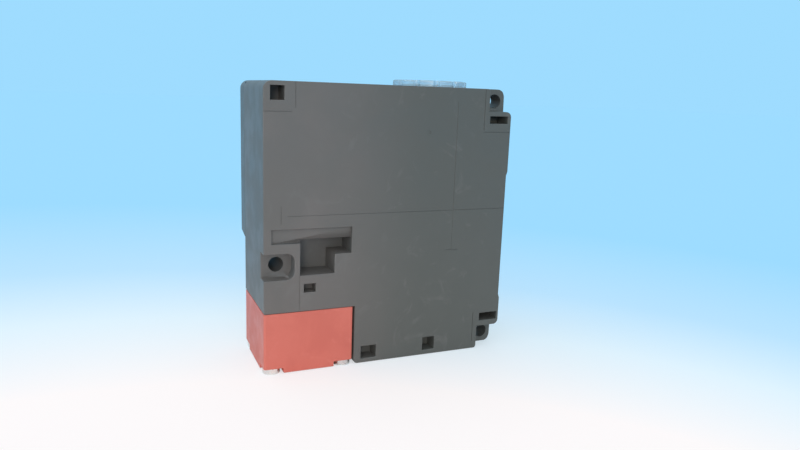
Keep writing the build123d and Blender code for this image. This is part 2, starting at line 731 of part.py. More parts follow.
def make_lock_fork():
    """The flat fork that slides under the collar, with its hub, arm and release flange."""
    z0 = FORK_Z - FORK_T / 2
    z1 = FORK_Z + FORK_T / 2
    y0 = PLUNGER_Y - FORK_W / 2
    y1 = PLUNGER_Y + FORK_W / 2
    throat = FORK_TIP + LOCK_TRAVEL - (COLLAR_R - ROD_R)
    fork = box(FORK_TIP, FORK_END, y0, y1, z0, z1)
    fork -= box(FORK_TIP, throat, PLUNGER_Y - FORK_MOUTH_W / 2, PLUNGER_Y + FORK_MOUTH_W / 2, z0, z1)
    fork += box(FORK_END - HUB_T, FORK_END, PLUNGER_Y - HUB_W / 2, PLUNGER_Y + HUB_W / 2, HUB_LOW, HUB_HIGH)
    arm_low = MONITOR_Z + MONITOR_H / 2 - ARM_W / 2
    fork += box(FORK_END - HUB_T, FORK_END - HUB_T + ARM_T, PLUNGER_Y - ARM_W / 2, PLUNGER_Y + ARM_W / 2,
                arm_low, HUB_LOW)
    window_x0 = KNOB_X - CRANK_PIN_R - LOOSE
    window_x1 = KNOB_X + CRANK + CRANK_PIN_R + LOCK_TRAVEL + LOOSE
    window_z0 = KNOB_Z - CRANK - CRANK_PIN_R - LOOSE
    window_z1 = KNOB_Z + CRANK_PIN_R + LOOSE
    fork += box(window_x0 - 2.0, window_x1 + 2.0, y1 - FLANGE_T, y1, z0, window_z1 + 1.8)
    fork -= box(window_x0, window_x1, y1 - FLANGE_T, y1, window_z0, window_z1)
    fork -= rod_x(PLUNGER_Y, FORK_Z, FORK_END - HUB_T + 1.0, FORK_END, PIN_R + RUN)
    return fork


def make_push_pin():
    """The thin pin from the armature through the core to the fork."""
    return rod_x(PLUNGER_Y, FORK_Z, FORK_END - HUB_T + 1.0, SLUG_START + 6.0, PIN_R)


def make_armature():
    """The steel slug that the coil pulls in."""
    slug = rod_x(PLUNGER_Y, FORK_Z, SLUG_START, CLIP_X + CLIP_T + SLUG_TAIL, SLUG_R)
    slug -= rod_x(PLUNGER_Y, FORK_Z, SLUG_START, SLUG_START + 6.0, PIN_R + RUN)
    groove = rod_x(PLUNGER_Y, FORK_Z, CLIP_X, CLIP_X + CLIP_T, SLUG_R)
    groove -= rod_x(PLUNGER_Y, FORK_Z, CLIP_X, CLIP_X + CLIP_T, SLUG_R - 0.8)
    return slug - groove


def make_armature_clip():
    """The open clip in the armature's groove, which the return spring pushes on."""
    clip = rod_x(PLUNGER_Y, FORK_Z, CLIP_X, CLIP_X + CLIP_T, CLIP_R)
    clip -= rod_x(PLUNGER_Y, FORK_Z, CLIP_X, CLIP_X + CLIP_T, SLUG_R - 0.8)
    return clip - box(CLIP_X, CLIP_X + CLIP_T, PLUNGER_Y - 2.2, PLUNGER_Y + 2.2, FORK_Z, FORK_Z + CLIP_R)


def make_lock_spring():
    coil = spring(LOCK_SPRING_R, LOCK_SPRING_WIRE, LOCK_SPRING_L, 4)
    return Pos(FRAME_END, PLUNGER_Y, FORK_Z) * Rot(0, 90, 0) * coil


def make_solenoid_frame():
    """The bent steel frame: two end plates on a base strip with two ears."""
    z0 = FORK_Z - FRAME_W / 2
    z1 = FORK_Z + FRAME_W / 2
    back = FRAME_BACK
    front = FRAME_BACK + FRAME_DEPTH
    frame = box(FRAME_X, FRAME_END, back, back + FRAME_T, z0, z1)
    frame += box(FRAME_X, FRAME_X + FRAME_T, back, front, z0, z1)
    frame += box(FRAME_END - FRAME_T, FRAME_END, back, front, z0, z1)
    for x, z in SOLENOID_SCREWS:
        frame += box(x - FRAME_EAR_W / 2, x + FRAME_EAR_W / 2, back, back + FRAME_T, z0 - FRAME_EAR, z0)
        frame -= rod_y(x, z, back, back + FRAME_T, M3_R + FIT)
    frame -= rod_x(PLUNGER_Y, FORK_Z, FRAME_X, FRAME_X + FRAME_T, SLUG_R - 1.0)
    frame -= rod_x(PLUNGER_Y, FORK_Z, FRAME_END - FRAME_T, FRAME_END, SLUG_R + LOOSE)
    return frame


def make_solenoid_core():
    """The fixed core, riveted into the frame's left plate."""
    core = rod_x(PLUNGER_Y, FORK_Z, FRAME_X, FRAME_X + FRAME_T, SLUG_R - 1.0 - RUN)
    core += rod_x(PLUNGER_Y, FORK_Z, FRAME_X + FRAME_T, CORE_END, SLUG_R)
    return core - rod_x(PLUNGER_Y, FORK_Z, FRAME_X, CORE_END, PIN_R + 0.2)


def make_coil_bobbin():
    """The moulded bobbin between the end plates."""
    x0 = FRAME_X + FRAME_T
    x1 = FRAME_END - FRAME_T
    bore = SLUG_R + RUN * 2
    bobbin = rod_x(PLUNGER_Y, FORK_Z, x0, x1, bore + BOBBIN_WALL)
    bobbin += rod_x(PLUNGER_Y, FORK_Z, x0, x0 + BOBBIN_FLANGE_T, BOBBIN_FLANGE_R)
    bobbin += rod_x(PLUNGER_Y, FORK_Z, x1 - BOBBIN_FLANGE_T, x1, BOBBIN_FLANGE_R)
    return bobbin - rod_x(PLUNGER_Y, FORK_Z, x0, x1, bore)


def make_coil_winding():
    x0 = FRAME_X + FRAME_T + BOBBIN_FLANGE_T
    x1 = FRAME_END - FRAME_T - BOBBIN_FLANGE_T
    winding = rod_x(PLUNGER_Y, FORK_Z, x0, x1, WINDING_R)
    return winding - rod_x(PLUNGER_Y, FORK_Z, x0, x1, SLUG_R + RUN * 2 + BOBBIN_WALL)


def make_solenoid_screws():
    seat = FRAME_BACK + FRAME_T
    return Compound([pan_screw_y(x, z, seat, FRAME_BACK - 3.8, M3_R, M3_HEAD_R, M3_HEAD_T)
                     for x, z in SOLENOID_SCREWS])


def make_release_knob():
    """The slotted release knob with its shaft, crank disc and eccentric pin."""
    flange_front = PLUNGER_Y + FORK_W / 2
    disc_back = flange_front + 0.5
    knob = rod_y(KNOB_X, KNOB_Z, HOUSING_D, HOUSING_D + KNOB_PROUD, KNOB_R)
    knob = fillet(knob.edges().filter_by(GeomType.CIRCLE).sort_by(Axis.Y)[-1], 0.5)
    knob += rod_y(KNOB_X, KNOB_Z, disc_back, HOUSING_D, KNOB_SHAFT_R)
    knob += rod_y(KNOB_X, KNOB_Z, disc_back, disc_back + CRANK_DISC_T, CRANK_DISC_R)
    knob += rod_y(KNOB_X, KNOB_Z - CRANK, flange_front - FLANGE_T, disc_back, CRANK_PIN_R)
    knob -= box(KNOB_X - 0.6, KNOB_X + 0.6, HOUSING_D + 0.5, HOUSING_D + KNOB_PROUD, KNOB_Z - KNOB_R, KNOB_Z + KNOB_R)
    knob -= rod_y(KNOB_X, KNOB_Z, COVER_BACK - CLIP_T, COVER_BACK, KNOB_SHAFT_R) \
        - rod_y(KNOB_X, KNOB_Z, COVER_BACK - CLIP_T, COVER_BACK, KNOB_SHAFT_R - 0.5)
    return knob


def make_release_clip():
    """The open clip that keeps the knob in the cover."""
    clip = rod_y(KNOB_X, KNOB_Z, COVER_BACK - CLIP_T + RUN, COVER_BACK - RUN, KNOB_SHAFT_R + 1.2)
    clip -= rod_y(KNOB_X, KNOB_Z, COVER_BACK - CLIP_T, COVER_BACK, KNOB_SHAFT_R - 0.5)
    return clip - box(KNOB_X - 1.2, KNOB_X + 1.2, COVER_BACK - CLIP_T, COVER_BACK, KNOB_Z, KNOB_Z + KNOB_R)


def make_release_seal():
    """The ring seal under the knob, in the cover's recess."""
    seal = rod_y(KNOB_X, KNOB_Z, HOUSING_D - 1.0, HOUSING_D, KNOB_SHAFT_R + 1.0 - RUN)
    return seal - rod_y(KNOB_X, KNOB_Z, HOUSING_D - 1.0, HOUSING_D, KNOB_SHAFT_R + RUN)


def switch_screw_places():
    inset = 2.4
    return [
        (SWITCH_X + inset, SWITCH_Z + SWITCH_H - inset),
        (SWITCH_X + SWITCH_W - inset, SWITCH_Z + inset),
    ]


def blade_places():
    """Left or right of the plunger, and the height of each pair of fixed contacts' rivets."""
    lower_bridge = CARRIER_Z + WINDOW_LOW + BRIDGE_T
    upper_bridge = lower_bridge + WINDOW_PITCH + WINDOW_H - BRIDGE_T * 3
    rivet_gap = RIVET_T + RUN
    places = []
    for side in (-1, 1):
        places.append((PLUNGER_X + side * BLADE_REACH, lower_bridge - rivet_gap - STROKE, -1))
        places.append((PLUNGER_X + side * BLADE_REACH, upper_bridge + BRIDGE_T + rivet_gap, 1))
    return places


def make_switch_case():
    """The contact block's case, open to the front, with guide ribs for the carrier."""
    x0 = SWITCH_X
    x1 = SWITCH_X + SWITCH_W
    z0 = SWITCH_Z
    z1 = SWITCH_Z + SWITCH_H
    case = box(x0, x1, BACK_WALL, LID_BACK, z0, z1)
    case -= box(x0 + CASE_WALL, x1 - CASE_WALL, BACK_WALL + CASE_WALL, LID_BACK, z0 + CASE_WALL, z1 - CASE_WALL)
    for side in (-1, 1):
        rib = PLUNGER_X + side * (CARRIER_W / 2 + 0.2 + 0.6)
        case += box(rib - 0.6, rib + 0.6, BACK_WALL + CASE_WALL, PLUNGER_Y - BRIDGE_W / 2 - 0.5,
                    z0 + CASE_WALL, z1 - CASE_WALL)
    for x, z in switch_screw_places():
        case += rod_y(x, z, BACK_WALL, LID_BACK, 2.2) & box(x0, x1, BACK_WALL, LID_BACK, z0, z1)
        case -= rod_y(x, z, LID_BACK - 10.0, LID_BACK, COVER_SCREW_R + RUN)
    return case - rod_z(PLUNGER_X, PLUNGER_Y, z0, z0 + CASE_WALL, ROD_R + LOOSE)


def make_switch_lid():
    lid = box(SWITCH_X, SWITCH_X + SWITCH_W, LID_BACK, LID_BACK + CASE_WALL, SWITCH_Z, SWITCH_Z + SWITCH_H)
    for x, z, way in blade_places():
        z0 = min(z, z + way * BLADE_T)
        lid -= box(x - BLADE_W / 2 - RUN, x + BLADE_W / 2 + RUN, LID_BACK, LID_BACK + CASE_WALL,
                   z0 - RUN, z0 + BLADE_T + RUN)
    for x, z in switch_screw_places():
        lid -= rod_y(x, z, LID_BACK, LID_BACK + CASE_WALL, COVER_SCREW_R + FIT)
    return lid


def make_switch_screws():
    return Compound([pan_screw_y(x, z, LID_BACK + CASE_WALL, LID_BACK - 9.6, COVER_SCREW_R, COVER_SCREW_HEAD_R,
                                 COVER_SCREW_HEAD_T) for x, z in switch_screw_places()])


def make_fixed_contacts():
    """Four silver-tipped blades that leave the lid as solder tags."""
    blades = []
    for x, z, way in blade_places():
        z0 = min(z, z + way * BLADE_T)
        blade = box(x - BLADE_W / 2, x + BLADE_W / 2, PLUNGER_Y - BRIDGE_W / 2, LID_BACK + CASE_WALL + TAG_L,
                    z0, z0 + BLADE_T)
        tip = z - way * RIVET_T
        blade += rod_z(x, PLUNGER_Y, min(z, tip), max(z, tip), RIVET_R)
        blades.append(blade)
    return Compound(blades)


def make_contact_carrier():
    """The moulded carrier on the plunger's spigot, with a window for each bridge."""
    half = CARRIER_W / 2
    carrier = box(PLUNGER_X - half, PLUNGER_X + half, PLUNGER_Y - half, PLUNGER_Y + half,
                  CARRIER_Z, CARRIER_Z + CARRIER_H)
    for level in range(2):
        low = CARRIER_Z + WINDOW_LOW + level * WINDOW_PITCH
        carrier -= box(PLUNGER_X - half, PLUNGER_X + half, PLUNGER_Y - WINDOW_W / 2, PLUNGER_Y + WINDOW_W / 2,
                       low, low + WINDOW_H)
    return carrier - rod_z(PLUNGER_X, PLUNGER_Y, CARRIER_Z, CARRIER_Z + WINDOW_LOW - 0.8, ROD_R / 2 + RUN)


def bridge_levels():
    """The underside of each bridge: the lower near its window's floor, the upper near its roof."""
    lower = CARRIER_Z + WINDOW_LOW + BRIDGE_T
    upper = lower + WINDOW_PITCH + WINDOW_H - BRIDGE_T * 3
    return [lower, upper]


def make_contact_bridges():
    bridges = []
    for low in bridge_levels():
        bridges.append(box(PLUNGER_X - BRIDGE_L / 2, PLUNGER_X + BRIDGE_L / 2, PLUNGER_Y - BRIDGE_W / 2,
                           PLUNGER_Y + BRIDGE_W / 2, low, low + BRIDGE_T))
    return Compound(bridges)


def make_contact_springs():
    """Each bridge's spring, between the bridge and its window's far side."""
    lower, upper = bridge_levels()
    first_roof = CARRIER_Z + WINDOW_LOW + WINDOW_H
    second_floor = CARRIER_Z + WINDOW_LOW + WINDOW_PITCH
    springs = []
    for low, high in ((lower + BRIDGE_T, first_roof), (second_floor, upper)):
        springs.append(Pos(PLUNGER_X, PLUNGER_Y, low) * spring(1.5, 0.4, high - low, 3))
    return Compound(springs)


def monitor_middle():
    return MONITOR_Z + MONITOR_H / 2


def monitor_bridge_x():
    return MONITOR_X + CASE_WALL + LOCK_TRAVEL + 1.2


def make_monitor_case():
    """The case of the switch that reads the lock."""
    x1 = MONITOR_X + MONITOR_W
    y1 = BACK_WALL + MONITOR_D - CASE_WALL
    wall = 1.4
    case = box(MONITOR_X, x1, BACK_WALL, y1, MONITOR_Z, MONITOR_Z + MONITOR_H)
    case -= box(MONITOR_X + wall, x1 - wall, BACK_WALL + wall, y1, MONITOR_Z + wall, MONITOR_Z + MONITOR_H - wall)
    return case - rod_x(PLUNGER_Y, monitor_middle(), MONITOR_X, MONITOR_X + wall, MONITOR_ROD_R + LOOSE)


def make_monitor_lid():
    y0 = BACK_WALL + MONITOR_D - CASE_WALL
    lid = box(MONITOR_X, MONITOR_X + MONITOR_W, y0, y0 + CASE_WALL, MONITOR_Z, MONITOR_Z + MONITOR_H)
    x = monitor_bridge_x() + BRIDGE_T + RIVET_T + RUN
    for side in (-1, 1):
        z = monitor_middle() + side * MONITOR_CONTACT_Z
        lid -= box(x - RUN, x + BLADE_T + RUN, y0, y0 + CASE_WALL, z - 1.0 - RUN, z + 1.0 + RUN)
    return lid


def make_monitor_slider():
    """The rod from the fork's arm into the monitor switch."""
    start = FORK_END - HUB_T + ARM_T
    return rod_x(PLUNGER_Y, monitor_middle(), start, monitor_bridge_x(), MONITOR_ROD_R)


def make_monitor_bridge():
    """The contact bridge on the slider's end."""
    x = monitor_bridge_x()
    z = monitor_middle()
    return box(x, x + BRIDGE_T, PLUNGER_Y - BRIDGE_W / 2, PLUNGER_Y + BRIDGE_W / 2, z - MONITOR_BRIDGE_HALF, z + MONITOR_BRIDGE_HALF)


def make_monitor_contacts():
    """Two blades that the bridge joins while the lock is drawn back."""
    x = monitor_bridge_x() + BRIDGE_T + RIVET_T + RUN
    y1 = BACK_WALL + MONITOR_D + TAG_L
    blades = []
    for side in (-1, 1):
        z = monitor_middle() + side * MONITOR_CONTACT_Z
        blade = box(x, x + BLADE_T, PLUNGER_Y - BRIDGE_W / 2, y1, z - 1.0, z + 1.0)
        blade += rod_x(PLUNGER_Y, z, x - RIVET_T, x, 0.9)
        blades.append(blade)
    return Compound(blades)


def pole_x(pole):
    """The middle of a terminal's bay."""
    return TERMINAL_X + POLE_WALL / 2 + POLE_PITCH * (pole + 0.5)


def make_terminal_block():
    """The moulded strip with a walled bay for each terminal."""
    z1 = TERMINAL_Z + TERMINAL_H
    top = BACK_WALL + TERMINAL_D
    block = box(TERMINAL_X, TERMINAL_X + TERMINAL_W, BACK_WALL, top, TERMINAL_Z, z1)
    bay = POLE_PITCH - POLE_WALL
    for pole in range(POLES):
        x = pole_x(pole)
        block -= box(x - bay / 2, x + bay / 2, BACK_WALL + TERMINAL_FLOOR, top, TERMINAL_Z, z1 - 2.0)
        block -= rod_y(x, TERMINAL_Z + 5.0, BACK_WALL + 1.0, BACK_WALL + TERMINAL_FLOOR, TERMINAL_SCREW_R + RUN)
    return block


def make_terminal_clamps():
    """A plated strip under each terminal screw."""
    bay = POLE_PITCH - POLE_WALL - LOOSE * 2
    y0 = BACK_WALL + TERMINAL_FLOOR
    clamps = []
    for pole in range(POLES):
        x = pole_x(pole)
        clamp = box(x - bay / 2, x + bay / 2, y0, y0 + CLAMP_T, TERMINAL_Z + 1.5, TERMINAL_Z + 10.5)
        clamps.append(clamp - rod_y(x, TERMINAL_Z + 5.0, y0, y0 + CLAMP_T, TERMINAL_SCREW_R + RUN))
    return Compound(clamps)


def make_terminal_screws():
    seat = BACK_WALL + TERMINAL_FLOOR + CLAMP_T
    return Compound([pan_screw_y(pole_x(pole), TERMINAL_Z + 5.0, seat, BACK_WALL + 1.5, TERMINAL_SCREW_R,
                                 TERMINAL_SCREW_HEAD_R, 1.5) for pole in range(POLES)])


def lens_places():
    middle = BOARD_X + BOARD_W / 2
    z = BOARD_Z + BOARD_H - 3.5
    return [(middle - LED_PITCH / 2, z), (middle + LED_PITCH / 2, z)]


def make_indicator_board():
    """The small circuit board on two posts behind the indicator lenses."""
    board = box(BOARD_X, BOARD_X + BOARD_W, BOARD_Y, BOARD_Y + BOARD_T, BOARD_Z, BOARD_Z + BOARD_H)
    return board


def make_indicator_leds():
    leds = []
    y0 = BOARD_Y + BOARD_T
    for x, z in lens_places():
        led = rod_y(x, z, y0, y0 + LED_L, LED_R) + rod_y(x, z, y0, y0 + 1.0, LED_R + 0.4)
        leds.append(led + Pos(x, y0 + LED_L, z) * Sphere(LED_R))
    return Compound(leds)


def make_indicator_lenses():
    """Two clear light guides pressed into the wiring cover from inside."""
    skin = OVERALL_D - COVER_SKIN
    lenses = []
    for x, z in lens_places():
        lens = rod_y(x, z, skin, OVERALL_D - 0.3, LENS_R)
        lenses.append(lens + rod_y(x, z, skin - LENS_FLANGE, skin, LENS_R + LENS_FLANGE))
    return Compound(lenses)


def make_conduit_plug():
    """The translucent cap in the conduit entry: notched rim, hollow stem."""
    cap = rod_z(CONDUIT_X, CONDUIT_Y, HOUSING_H, HOUSING_H + PLUG_CAP_T, PLUG_R)
    cap = fillet(cap.edges().filter_by(GeomType.CIRCLE).sort_by(Axis.Z)[-1], 0.7)
    for i in range(PLUG_NOTCHES):
        turn = math.tau * (i + 0.5) / PLUG_NOTCHES
        x = CONDUIT_X + math.cos(turn) * (PLUG_R + 0.6)
        y = CONDUIT_Y + math.sin(turn) * (PLUG_R + 0.6)
        cap -= rod_z(x, y, HOUSING_H, HOUSING_H + PLUG_CAP_T, 1.3)
    stem = rod_z(CONDUIT_X, CONDUIT_Y, HOUSING_H - PLUG_STEM_L, HOUSING_H, CONDUIT_R - FIT)
    hollow = rod_z(CONDUIT_X, CONDUIT_Y, HOUSING_H - PLUG_STEM_L, HOUSING_H + PLUG_CAP_T - PLUG_WALL,
                   CONDUIT_R - FIT - PLUG_WALL)
    groove = rod_z(CONDUIT_X, CONDUIT_Y, HOUSING_H, HOUSING_H + CONDUIT_SEAL_H, CONDUIT_R + CONDUIT_SEAL_T)
    groove -= rod_z(CONDUIT_X, CONDUIT_Y, HOUSING_H, HOUSING_H + CONDUIT_SEAL_H, CONDUIT_R - FIT)
    return cap + stem - hollow - groove


def make_conduit_seal():
    """The ring under the cap, on the housing's top."""
    ring = rod_z(CONDUIT_X, CONDUIT_Y, HOUSING_H, HOUSING_H + CONDUIT_SEAL_H, CONDUIT_R + CONDUIT_SEAL_T - RUN)
    return ring - rod_z(CONDUIT_X, CONDUIT_Y, HOUSING_H, HOUSING_H + CONDUIT_SEAL_H, CONDUIT_R - FIT + RUN)


PIECES = {
    "housing": make_housing,
    "mechanism_cover": make_mechanism_cover,
    "mechanism_cover_screws": make_mechanism_cover_screws,
    "wiring_cover": make_wiring_cover,
    "wiring_cover_gasket": make_wiring_cover_gasket,
    "wiring_cover_screws": make_wiring_cover_screws,
    "head_block": make_head_block,
    "head_screws": make_head_screws,
    "head_seal": make_head_seal,
    "cam_shaft": make_cam_shaft,
    "rotary_cam": make_rotary_cam,
    "plunger_bush": make_plunger_bush,
    "plunger_seal": make_plunger_seal,
    "plunger_rod": make_plunger_rod,
    "plunger_spring": make_plunger_spring,
    "lock_fork": make_lock_fork,
    "push_pin": make_push_pin,
    "armature": make_armature,
    "armature_clip": make_armature_clip,
    "lock_spring": make_lock_spring,
    "solenoid_frame": make_solenoid_frame,
    "solenoid_core": make_solenoid_core,
    "coil_bobbin": make_coil_bobbin,
    "coil_winding": make_coil_winding,
    "solenoid_screws": make_solenoid_screws,
    "release_knob": make_release_knob,
    "release_clip": make_release_clip,
    "release_seal": make_release_seal,
    "switch_case": make_switch_case,
    "switch_lid": make_switch_lid,
    "switch_screws": make_switch_screws,
    "fixed_contacts": make_fixed_contacts,
    "contact_carrier": make_contact_carrier,
    "contact_bridges": make_contact_bridges,
    "contact_springs": make_contact_springs,
    "monitor_case": make_monitor_case,
    "monitor_lid": make_monitor_lid,
    "monitor_slider": make_monitor_slider,
    "monitor_bridge": make_monitor_bridge,
    "monitor_contacts": make_monitor_contacts,
    "terminal_block": make_terminal_block,
    "terminal_clamps": make_terminal_clamps,
    "terminal_screws": make_terminal_screws,
    "indicator_board": make_indicator_board,
    "indicator_leds": make_indicator_leds,
    "indicator_lenses": make_indicator_lenses,
    "conduit_plug": make_conduit_plug,
    "conduit_seal": make_conduit_seal,
}

os.makedirs("parts", exist_ok=True)
for name, make in PIECES.items():
    export_step(Pos(*ORIGIN) * make(), f"parts/{name}.step")
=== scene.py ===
# %% [markdown]
# This notebook dresses a tongue interlock switch, the kind that holds a machine's guard door shut.
# We look at its mounting side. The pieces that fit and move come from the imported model, already at
# their real size and place, so nothing here is moved or scaled. What we add is the finish: softened
# edges, the fine lines that the mould leaves, and a material for every piece.

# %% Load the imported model
import math

import bmesh
import bpy
from mathutils import Euler, Matrix, Vector


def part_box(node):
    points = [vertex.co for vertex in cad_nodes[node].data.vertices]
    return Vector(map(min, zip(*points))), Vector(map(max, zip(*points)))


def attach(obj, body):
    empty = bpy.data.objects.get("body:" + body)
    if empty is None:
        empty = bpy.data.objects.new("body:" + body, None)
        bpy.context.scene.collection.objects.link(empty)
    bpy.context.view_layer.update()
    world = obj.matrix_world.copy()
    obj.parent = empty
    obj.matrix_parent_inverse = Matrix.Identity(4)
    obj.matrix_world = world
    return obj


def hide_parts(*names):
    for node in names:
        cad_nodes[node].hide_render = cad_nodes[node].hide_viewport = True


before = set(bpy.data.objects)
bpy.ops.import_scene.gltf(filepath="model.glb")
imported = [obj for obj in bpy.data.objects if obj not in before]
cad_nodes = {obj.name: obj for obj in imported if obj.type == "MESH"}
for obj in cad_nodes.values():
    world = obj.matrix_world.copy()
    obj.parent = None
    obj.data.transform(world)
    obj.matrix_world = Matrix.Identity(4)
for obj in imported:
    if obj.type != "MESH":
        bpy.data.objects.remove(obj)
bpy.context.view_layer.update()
print("loaded", len(cad_nodes), "nodes")

# %% [markdown]
# Blender works in metres, but a moulding is easier to think of in millimetres, measured from one
# corner of the housing: X to the right along the mounting face, Y away from the mounting face, and
# Z up. Two matrices go there and back, so every size below is one that callipers could measure.

# %% Millimetres from the housing's corner
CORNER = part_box("housing")[0]
TO_MM = Matrix.Scale(1000.0, 4) @ Matrix.Translation(-CORNER)
TO_METRES = TO_MM.inverted()
HOUSING_HIGH = TO_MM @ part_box("housing")[1]
print("housing", [round(size, 2) for size in HOUSING_HIGH])

# %% [markdown]
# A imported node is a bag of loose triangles. To work on a copy we merge the points that coincide,
# then dissolve the edges that lie in a flat face. That leaves clean flat faces, and only the real
# edges are left to soften.

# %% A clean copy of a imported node
MERGE_MM = 0.002
FLAT_ANGLE = math.radians(0.8)


def copy_of(node):
    """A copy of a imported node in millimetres, with its flat faces whole again."""
    bm = bmesh.new()
    bm.from_mesh(cad_nodes[node].data)
    bmesh.ops.transform(bm, matrix=TO_MM, verts=bm.verts)
    bmesh.ops.remove_doubles(bm, verts=bm.verts, dist=MERGE_MM)
    bmesh.ops.dissolve_limit(bm, angle_limit=FLAT_ANGLE, verts=bm.verts, edges=bm.edges)
    print(node, "copied with", len(bm.faces), "faces")
    return bm


# %% [markdown]
# Every finished piece goes through the same door: back to metres, smooth shading that breaks at
# real edges, a material, and the body that it rides on. Weighted normals keep the large faces flat,
# so that only the rounds between them shade. The object itself stays at the origin.

# %% Finish a piece
SMOOTH_ANGLE = math.radians(34.0)


def finish_piece(bm, name, body, material, replaced):
    """Turns a bmesh in millimetres into a piece of the part that stands for the named nodes."""
    bmesh.ops.transform(bm, matrix=TO_METRES, verts=bm.verts)
    mesh = bpy.data.meshes.new(name)
    bm.to_mesh(mesh)
    bm.free()
    mesh.shade_smooth()
    mesh.set_sharp_from_angle(angle=SMOOTH_ANGLE)
    mesh.materials.append(material)
    piece = bpy.data.objects.new(name, mesh)
    bpy.context.scene.collection.objects.link(piece)
    even = piece.modifiers.new("even shading", "WEIGHTED_NORMAL")
    even.keep_sharp = True
    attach(piece, body)
    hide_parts(*replaced)
    print(name, "has", len(mesh.polygons), "faces")


# %% [markdown]
# No moulding has a knife edge: the tool is rounded a little, and that thin round catches the light
# and draws the outline. We find the edges where two faces meet at an angle, keep only the ones in
# the region we name, and bevel them. Doing this before the fine lines are cut keeps those crisp.

# %% Soften edges
SHARP_ANGLE = math.radians(35.0)
ROUND_SEGMENTS = 3


def soften(bm, radius, where=None):
    """Rounds the outward edges of a piece, or those whose middle passes the test."""
    chosen = []
    for edge in bm.edges:
        if not edge.is_manifold or not edge.is_convex or edge.calc_face_angle(0.0) < SHARP_ANGLE:
            continue
        middle = (edge.verts[0].co + edge.verts[1].co) / 2
        if where is None or where(middle):
            chosen.append(edge)
    bmesh.ops.bevel(bm, geom=chosen, affect="EDGES", offset=radius, offset_type="OFFSET",
                    segments=ROUND_SEGMENTS, profile=0.5, clamp_overlap=False, material=-1)
    return len(chosen)


# %% [markdown]
# Fine lines and mould marks are cut as a toolmaker would: a cutter is drawn, then subtracted. The
# cutter is a bmesh too, so bars and rings can be gathered in one and taken away in one go.

# %% Cutters
CIRCLE_STEPS = 28


def as_object(bm, name):
    """A plain object from a bmesh, which is used up."""
    mesh = bpy.data.meshes.new(name)
    bm.to_mesh(mesh)
    bm.free()
    made = bpy.data.objects.new(name, mesh)
    bpy.context.scene.collection.objects.link(made)
    return made


def cut_away(bm, cutter):
    """Subtracts one bmesh from another and gives the result as a new bmesh."""
    work = as_object(bm, "work")
    knife = as_object(cutter, "knife")
    cut = work.modifiers.new("cut", "BOOLEAN")
    cut.operation = "DIFFERENCE"
    cut.solver = "EXACT"
    cut.use_self = True
    cut.object = knife
    bpy.context.view_layer.update()
    shape = work.evaluated_get(bpy.context.evaluated_depsgraph_get())
    result = bmesh.new()
    result.from_mesh(shape.to_mesh())
    for used in (work, knife):
        mesh = used.data
        bpy.data.objects.remove(used)
        bpy.data.meshes.remove(mesh)
    return result


def add_bar(cutter, x0, x1, y0, y1, z0, z1):
    """A bar between two values on each axis."""
    size = Matrix.Diagonal((x1 - x0, y1 - y0, z1 - z0, 1.0))
    place = Matrix.Translation(((x0 + x1) / 2, (y0 + y1) / 2, (z0 + z1) / 2))
    bmesh.ops.create_cube(cutter, size=1.0, matrix=place @ size)


def add_ring(cutter, x, z, radius, width, y0, y1):
    """A square ring round the Y axis through x and z, spun from four points."""
    inner = radius - width / 2
    outer = radius + width / 2
    outline = [(inner, y0), (outer, y0), (outer, y1), (inner, y1)]
    corners = [cutter.verts.new((x + r, y, z)) for r, y in outline]
    edges = [cutter.edges.new((corners[i - 1], corners[i])) for i in (1, 2, 3, 0)]
    bmesh.ops.spin(cutter, geom=corners + edges, cent=(x, 0, z), axis=(0, 1, 0), angle=math.tau,
                   steps=CIRCLE_STEPS, use_merge=True, use_duplicate=False)


def add_disc(cutter, x, z, radius, y0, y1):
    """A round plug along Y."""
    place = Matrix.Translation((x, (y0 + y1) / 2, z)) @ Matrix.Rotation(math.pi / 2, 4, "X")
    bmesh.ops.create_cone(cutter, cap_ends=True, segments=CIRCLE_STEPS, radius1=radius,
                          radius2=radius, depth=y1 - y0, matrix=place)


print("cutters ready")

# %% [markdown]
# The casing is a dark glass-filled nylon. Up close its grey isn't even: it is patchy, it gets
# greener and darker towards the right, and faint smudges run across it. So the colour comes from two
# slow noises and a drift across the part, the roughness from a third, and a fine grain goes to the
# bump.

# %% Nodes for a material
def new_material(name, base, roughness, metallic=0.0):
    """A material with a Principled shader, and the handles to build on it."""
    material = bpy.data.materials.new(name)
    material.use_nodes = True
    material.diffuse_color = (*base, 1.0)
    tree = material.node_tree
    shader = tree.nodes["Principled BSDF"]
    shader.inputs["Base Color"].default_value = (*base, 1.0)
    shader.inputs["Roughness"].default_value = roughness
    shader.inputs["Metallic"].default_value = metallic
    coords = tree.nodes.new("ShaderNodeTexCoord")
    return material, tree, shader, coords.outputs["Object"]


def noise(tree, source, scale, detail=3.0, roughness=0.5, distortion=0.0):
    """A noise on the piece's own coordinates; the scale is in features per metre."""
    node = tree.nodes.new("ShaderNodeTexNoise")
    node.inputs["Scale"].default_value = scale
    node.inputs["Detail"].default_value = detail
    node.inputs["Roughness"].default_value = roughness
    node.inputs["Distortion"].default_value = distortion
    tree.links.new(source, node.inputs["Vector"])
    return node.outputs["Fac"]


def spread(tree, value, low, high, out_low=0.0, out_high=1.0):
    """Stretches a value from one range to another, and holds it inside."""
    node = tree.nodes.new("ShaderNodeMapRange")
    node.interpolation_type = "SMOOTHSTEP"
    node.inputs["From Min"].default_value = low
    node.inputs["From Max"].default_value = high
    node.inputs["To Min"].default_value = out_low
    node.inputs["To Max"].default_value = out_high
    tree.links.new(value, node.inputs["Value"])
    return node.outputs["Result"]


